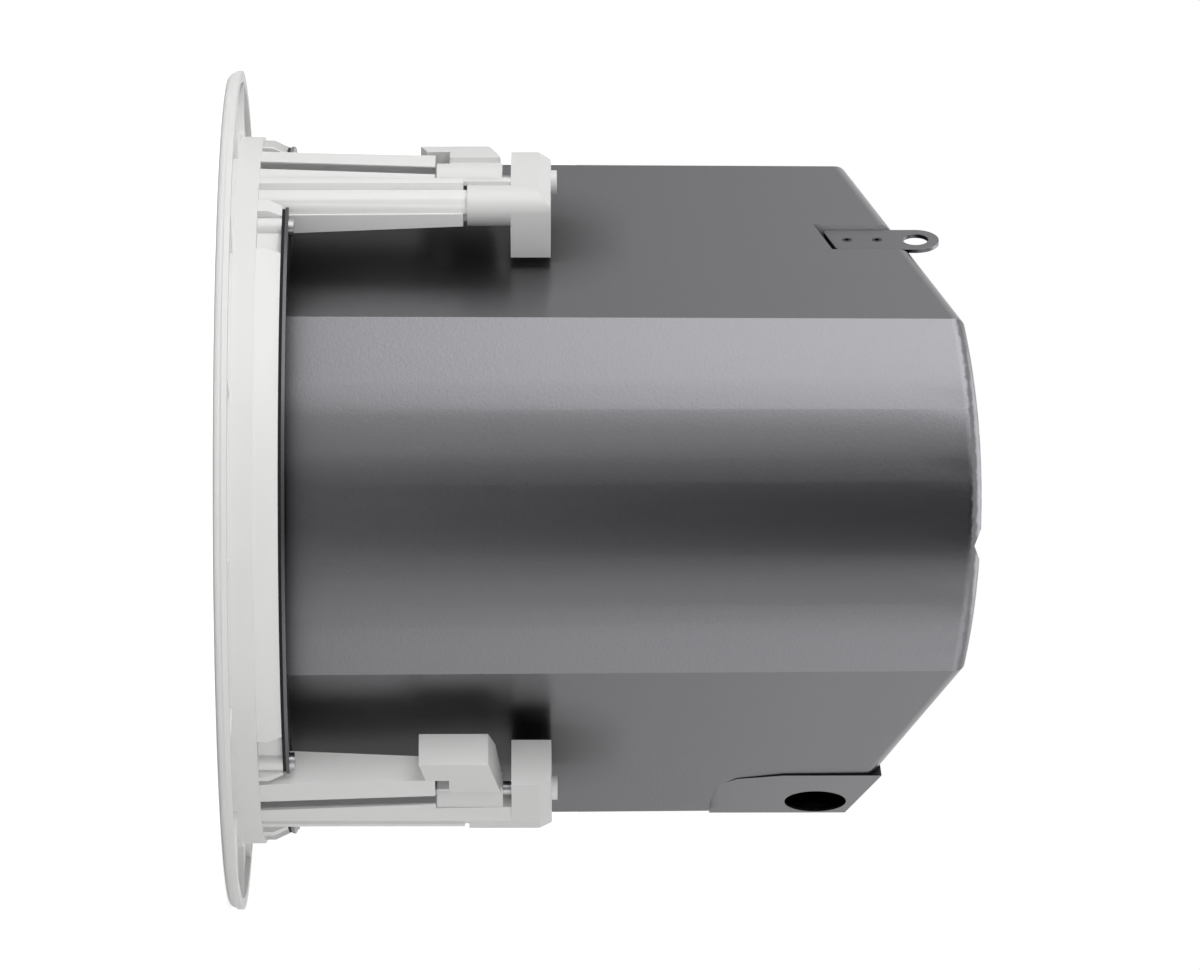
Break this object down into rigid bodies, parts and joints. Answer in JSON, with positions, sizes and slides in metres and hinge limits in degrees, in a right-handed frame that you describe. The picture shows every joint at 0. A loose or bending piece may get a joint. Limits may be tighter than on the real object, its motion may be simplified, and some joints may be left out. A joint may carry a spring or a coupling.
{
  "type": "in ceiling speaker",
  "caption": "Round flush ceiling loudspeaker with a white flange and grille, swing-out clamps and a deep grey steel back can cut off at a slope.",
  "frame": {"origin": "centre of the speaker on the rear face of its front flange, which lies against the underside of the ceiling", "axes": "+Z along the speaker's axis up into the ceiling, +Y towards the clamp that stands alone, -Y towards the long side of the back can"},
  "size_m": [0.3, 0.3, 0.2638],
  "materials": {
    "white_plastic": "satin",
    "clamp_plastic": "satin",
    "white_paint": "satin",
    "black_cloth": "matte",
    "magnet_plating": "polished",
    "foam": "matte",
    "grey_paint": "satin",
    "zinc_steel": "satin",
    "dark_steel": "satin",
    "black_plastic": "matte",
    "board": "satin",
    "copper": "satin",
    "core_steel": "matte",
    "winding_tape": "satin",
    "rubber_roll": "matte",
    "cone_pulp": "matte",
    "spider_cloth": "matte",
    "aluminium_foil": "satin",
    "ferrite": "matte",
    "dome_silk": "satin",
    "brass": "satin",
    "wadding": "matte"
  },
  "bodies": {
    "speaker": {"baffle": "white_plastic", "grille": "white_paint", "grille_cloth": "black_cloth", "grille_magnets": "magnet_plating", "can_gasket": "foam", "back_can": "grey_paint", "can_screws": "zinc_steel", "clamp_cap_1": "clamp_plastic", "clamp_cap_2": "clamp_plastic", "clamp_cap_3": "clamp_plastic", "safety_tab": "grey_paint", "tab_rivets": "dark_steel", "terminal_cover": "grey_paint", "terminal_block": "black_plastic", "cover_screws": "zinc_steel", "board_standoffs": "black_plastic", "crossover_board": "board", "board_screws": "zinc_steel", "inductors": "copper", "capacitors": "black_plastic", "transformer_core": "core_steel", "transformer_winding": "winding_tape", "driver_gasket": "foam", "basket": "dark_steel", "surround": "rubber_roll", "cone": "cone_pulp", "spider": "spider_cloth", "coil_former": "aluminium_foil", "voice_coil": "copper", "top_plate": "zinc_steel", "magnet": "ferrite", "yoke": "zinc_steel", "tweeter_body": "black_plastic", "tweeter_dome": "dome_silk", "driver_screws": "zinc_steel", "port_tube": "black_plastic", "tap_switch": "black_plastic", "damping_pad_1": "wadding", "damping_pad_2": "wadding", "damping_pad_3": "wadding"},
    "selector": {"tap_knob": "white_plastic"},
    "dog_1": {"clamp_dog_1": "clamp_plastic", "clamp_insert_1": "brass"},
    "screw_1": {"clamp_screw_1": "zinc_steel"},
    "dog_2": {"clamp_dog_2": "clamp_plastic", "clamp_insert_2": "brass"},
    "screw_2": {"clamp_screw_2": "zinc_steel"},
    "dog_3": {"clamp_dog_3": "clamp_plastic", "clamp_insert_3": "brass"},
    "screw_3": {"clamp_screw_3": "zinc_steel"}
  },
  "joints": [
    {"name": "dog_1_swing", "type": "hinge", "parent": "speaker", "child": "dog_1", "pos_m": [0.0066, 0.1176, 0.08], "axis": [0, 0, 1], "range_deg": [0, 90]},
    {"name": "screw_1_turn", "type": "hinge", "parent": "speaker", "child": "screw_1", "pos_m": [0.0066, 0.1176, 0.08], "axis": [0, 0, 1], "continuous": true},
    {"name": "dog_2_swing", "type": "hinge", "parent": "speaker", "child": "dog_2", "pos_m": [-0.10937, -0.04372, 0.08], "axis": [0, 0, 1], "range_deg": [0, 90]},
    {"name": "screw_2_turn", "type": "hinge", "parent": "speaker", "child": "screw_2", "pos_m": [-0.10937, -0.04372, 0.08], "axis": [0, 0, 1], "continuous": true},
    {"name": "dog_3_swing", "type": "hinge", "parent": "speaker", "child": "dog_3", "pos_m": [0.10379, -0.05568, 0.08], "axis": [0, 0, 1], "range_deg": [0, 90]},
    {"name": "screw_3_turn", "type": "hinge", "parent": "speaker", "child": "screw_3", "pos_m": [0.10379, -0.05568, 0.08], "axis": [0, 0, 1], "continuous": true},
    {"name": "selector_turn", "type": "hinge", "parent": "speaker", "child": "selector", "pos_m": [-0.08574, 0.0495, 0.004], "axis": [0, 0, 1], "range_deg": [-75, 75]}
  ]
}
